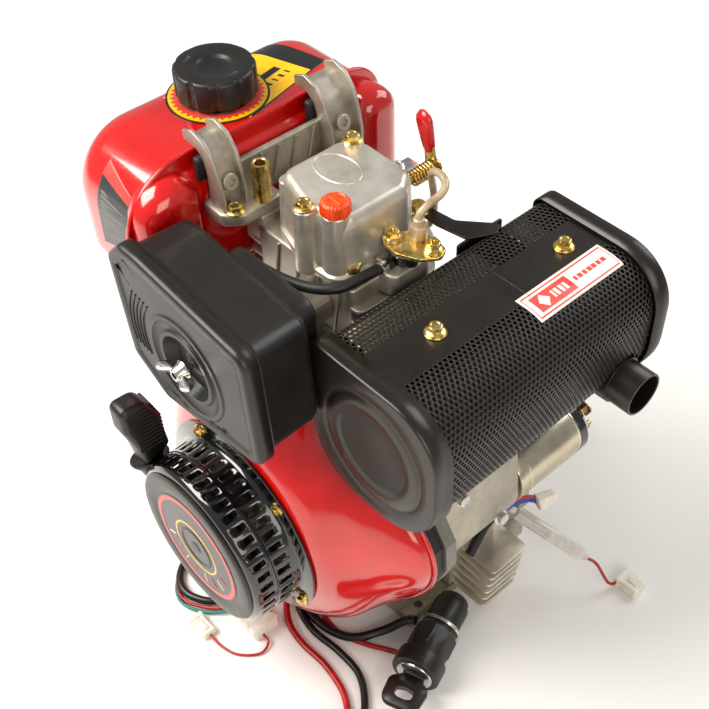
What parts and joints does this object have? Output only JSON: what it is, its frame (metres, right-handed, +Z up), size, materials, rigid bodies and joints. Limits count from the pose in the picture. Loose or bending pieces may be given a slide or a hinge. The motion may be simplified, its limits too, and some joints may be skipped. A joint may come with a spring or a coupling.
{
  "type": "small diesel engine",
  "caption": "Air-cooled single-cylinder engine with fuel tank, perforated muffler guard, air cleaner, recoil starter and electric starter.",
  "frame": {"origin": "on the mounting face of the feet, straight below the crankshaft axis, in the plane of the cylinder", "axes": "+Z up, +Y along the crankshaft towards the drive end, +X towards the muffler"},
  "size_m": [0.45, 0.474, 0.491],
  "materials": {
    "cast_aluminium": "as cast, shot blasted, slightly rough",
    "machined_steel": "turned and ground steel",
    "black_painted_steel": "satin heat-resistant black paint",
    "gloss_black_steel": "gloss black enamel",
    "red_enamel": "gloss red stoved enamel",
    "black_plastic": "moulded black plastic",
    "orange_plastic": "moulded orange plastic",
    "white_plastic": "moulded natural nylon",
    "black_rubber": "moulded black rubber",
    "zinc_steel": "yellow zinc plated steel",
    "bright_zinc_steel": "bright zinc plated steel",
    "filter_foam": "open-cell foam",
    "red_pvc": "extruded red PVC insulation",
    "black_pvc": "extruded black PVC insulation"
  },
  "bodies": {
    "engine": {"air_cleaner_body": "black_plastic", "air_filter_element": "filter_foam", "black_loom": "black_pvc", "bracket_standoff": "zinc_steel", "crankcase": "cast_aluminium", "crankcase_cover": "cast_aluminium", "cylinder_head": "cast_aluminium", "fan_shroud": "red_enamel", "fuel_tank": "red_enamel", "fuse_holder": "white_plastic", "fuse_lead": "red_pvc", "fuse_plug": "white_plastic", "harness_lead": "black_pvc", "heat_shield": "black_painted_steel", "injection_pump": "cast_aluminium", "injector": "gloss_black_steel", "injector_clamp": "zinc_steel", "injector_pipe": "bright_zinc_steel", "intake_pipe": "cast_aluminium", "key_switch": "black_plastic", "leak_off_hose": "black_rubber", "loom_connector": "white_plastic", "muffler_body": "bright_zinc_steel", "muffler_bracket": "black_painted_steel", "muffler_cap_front": "black_painted_steel", "muffler_cap_rear": "black_painted_steel", "recoil_cap": "black_plastic", "recoil_housing": "gloss_black_steel", "red_lead": "red_pvc", "red_lead_coil": "red_pvc", "red_lead_terminal": "machined_steel", "regulator": "cast_aluminium", "rocker_cover": "cast_aluminium", "shroud_backplate": "cast_aluminium", "shroud_seal": "black_rubber", "signal_lead": "red_pvc", "signal_plug": "white_plastic", "starter_housing": "cast_aluminium", "starter_motor": "bright_zinc_steel", "starter_solenoid": "bright_zinc_steel", "tail_pipe": "black_painted_steel", "tank_bracket": "cast_aluminium", "tank_cushion_front": "black_rubber", "tank_cushion_rear": "black_rubber"},
    "crank": {"crankshaft": "machined_steel", "flywheel": "machined_steel", "cooling_fan": "black_plastic", "recoil_cup": "gloss_black_steel"},
    "cam": {"camshaft": "machined_steel"},
    "piston": {"piston": "cast_aluminium"},
    "fuel_cap": {"fuel_cap": "black_plastic"},
    "oil_filler_plug": {"oil_filler_plug": "orange_plastic"},
    "oil_dipstick": {"oil_dipstick": "black_plastic"},
    "decompression_lever": {"decompression_lever": "zinc_steel"},
    "speed_lever": {"speed_lever": "zinc_steel"},
    "air_cleaner_cover": {"air_cleaner_cover": "black_plastic"},
    "wing_nut": {"wing_nut": "bright_zinc_steel"},
    "pull_handle": {"recoil_handle": "black_plastic"},
    "rope_pulley": {"recoil_pulley": "black_plastic"},
    "ignition_key": {"ignition_key": "black_plastic"}
  },
  "joints": [
    {"name": "crank_spin", "type": "hinge", "parent": "engine", "child": "crank", "pos_m": [0, 0.05, 0.155], "axis": [0, 1, 0], "continuous": true},
    {"name": "cam_spin", "type": "hinge", "parent": "engine", "child": "cam", "pos_m": [-0.052, 0.05, 0.1136], "axis": [0, 1, 0], "continuous": true},
    {"name": "piston_slide", "type": "slide", "parent": "engine", "child": "piston", "axis": [0, 0, 1], "range_m": [-0.07, 0]},
    {"name": "fuel_cap_turn", "type": "hinge", "parent": "engine", "child": "fuel_cap", "pos_m": [-0.147, -0.006, 0.48], "axis": [0, 0, 1], "range_deg": [0, 90]},
    {"name": "oil_filler_turn", "type": "hinge", "parent": "engine", "child": "oil_filler_plug", "pos_m": [0.033, -0.036, 0.467], "axis": [0, 0, 1], "range_deg": [0, 720]},
    {"name": "dipstick_turn", "type": "hinge", "parent": "engine", "child": "oil_dipstick", "pos_m": [-0.12, 0.092, 0.06], "axis": [-1, 0, 0], "range_deg": [0, 720]},
    {"name": "decompression_tilt", "type": "hinge", "parent": "engine", "child": "decompression_lever", "pos_m": [0.014, 0.06, 0.432], "axis": [0, 1, 0], "range_deg": [0, 30], "stiffness_Nm_per_rad": 0.2},
    {"name": "speed_tilt", "type": "hinge", "parent": "engine", "child": "speed_lever", "pos_m": [-0.114, 0.04, 0.19], "axis": [1, 0, 0], "range_deg": [-8, 30]},
    {"name": "cleaner_cover_slide", "type": "slide", "parent": "engine", "child": "air_cleaner_cover", "axis": [0, -1, 0], "range_m": [0, 0.06]},
    {"name": "wing_nut_spin", "type": "hinge", "parent": "air_cleaner_cover", "child": "wing_nut", "pos_m": [0.006, -0.168, 0.37], "axis": [0, 1, 0], "continuous": true},
    {"name": "pull_slide", "type": "slide", "parent": "engine", "child": "pull_handle", "axis": [-0.5501, 0, 0.8351], "range_m": [0, 0.45]},
    {"name": "pulley_spin", "type": "hinge", "parent": "engine", "child": "rope_pulley", "pos_m": [0, -0.169, 0.155], "axis": [0, 1, 0], "range_deg": [0, 416]},
    {"name": "key_turn", "type": "hinge", "parent": "engine", "child": "ignition_key", "pos_m": [0.168, -0.082, 0.024], "axis": [-0.3426, 0.9395, 0], "range_deg": [0, 90]}
  ],
  "couplings": [
    {"joint": "cam_spin", "follows": "crank_spin", "ratio": -0.5},
    {"joint": "pulley_spin", "follows": "pull_slide", "rad_per_m": 16.129}
  ]
}
